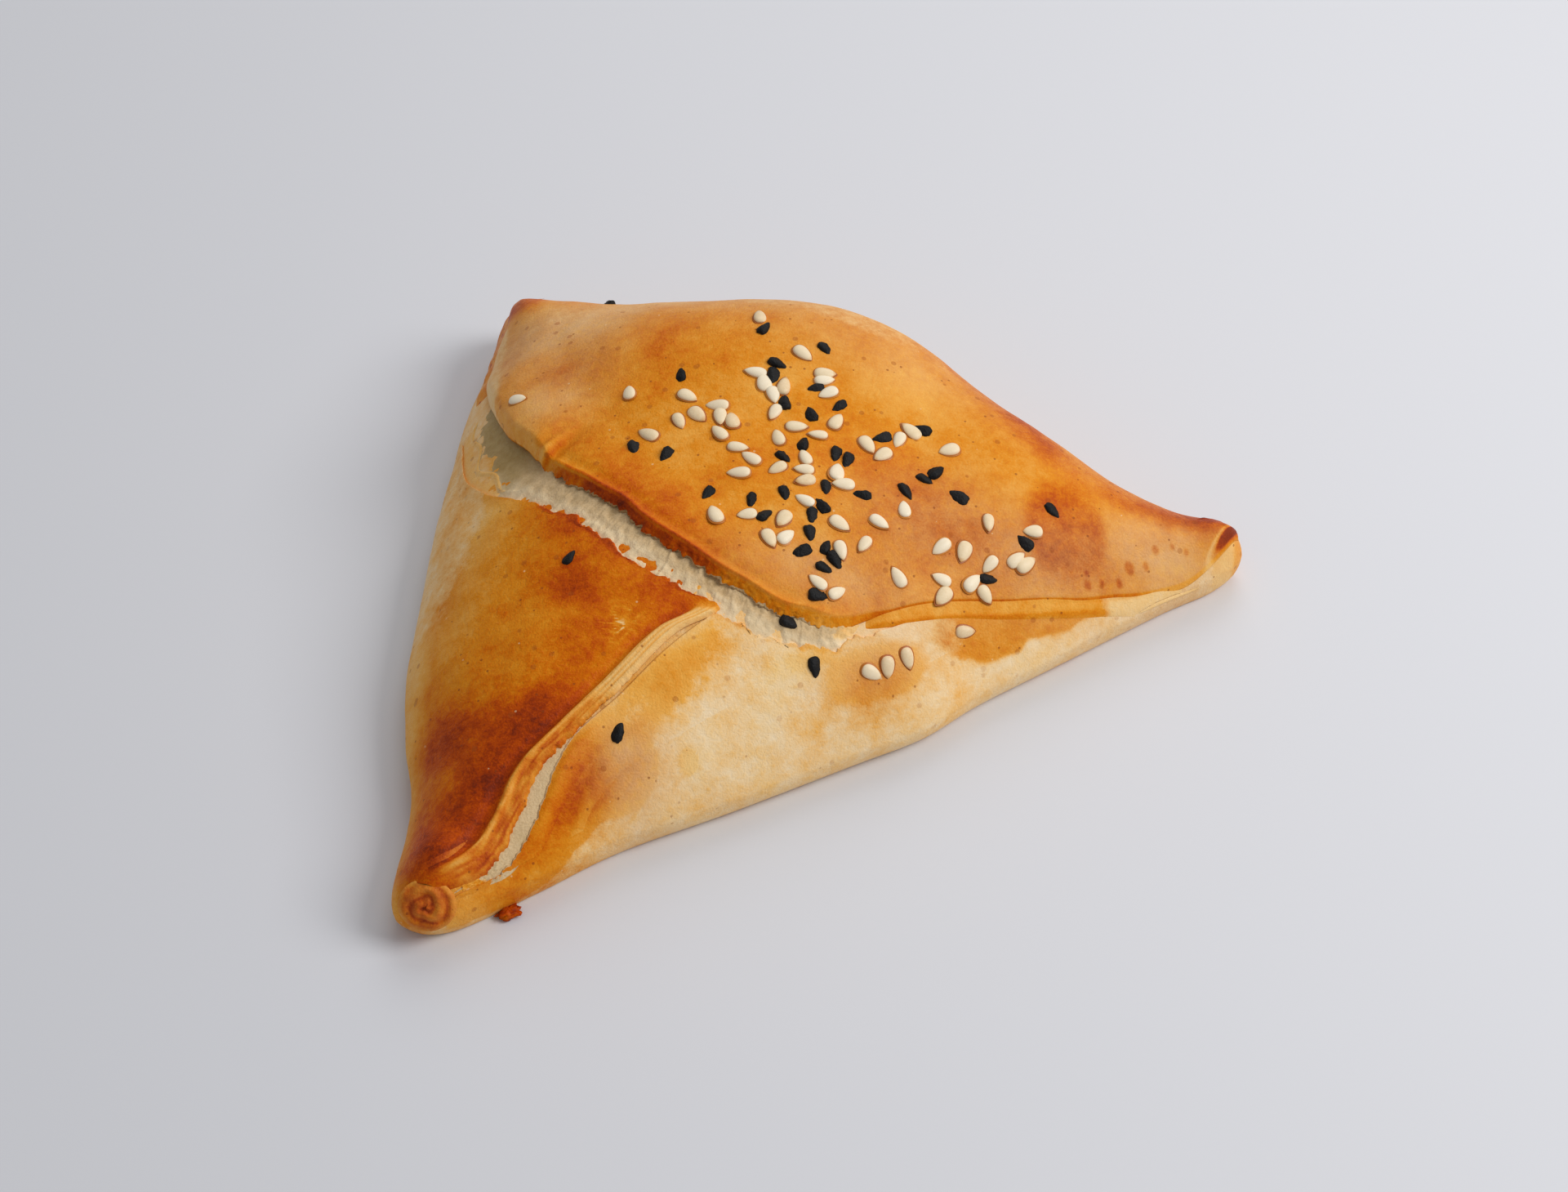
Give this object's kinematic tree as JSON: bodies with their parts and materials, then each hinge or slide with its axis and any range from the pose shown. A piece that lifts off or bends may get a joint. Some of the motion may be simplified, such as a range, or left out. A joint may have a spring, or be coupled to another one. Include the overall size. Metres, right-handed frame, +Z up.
{
  "type": "samosa",
  "caption": "Baked triangular pastry: a golden crust folded over itself in flaps, its top flap torn free along one edge, sprinkled with pale and black seeds.",
  "frame": {"origin": "on the table, under the middle of the bounding box", "axes": "+X towards the right corner, along the longest side of the bounding box; +Y towards the back; +Z up"},
  "size_m": [0.1255, 0.1233, 0.029],
  "materials": {
    "crust": "satin"
  },
  "bodies": {
    "root": {"samosa": "crust"}
  },
  "joints": []
}
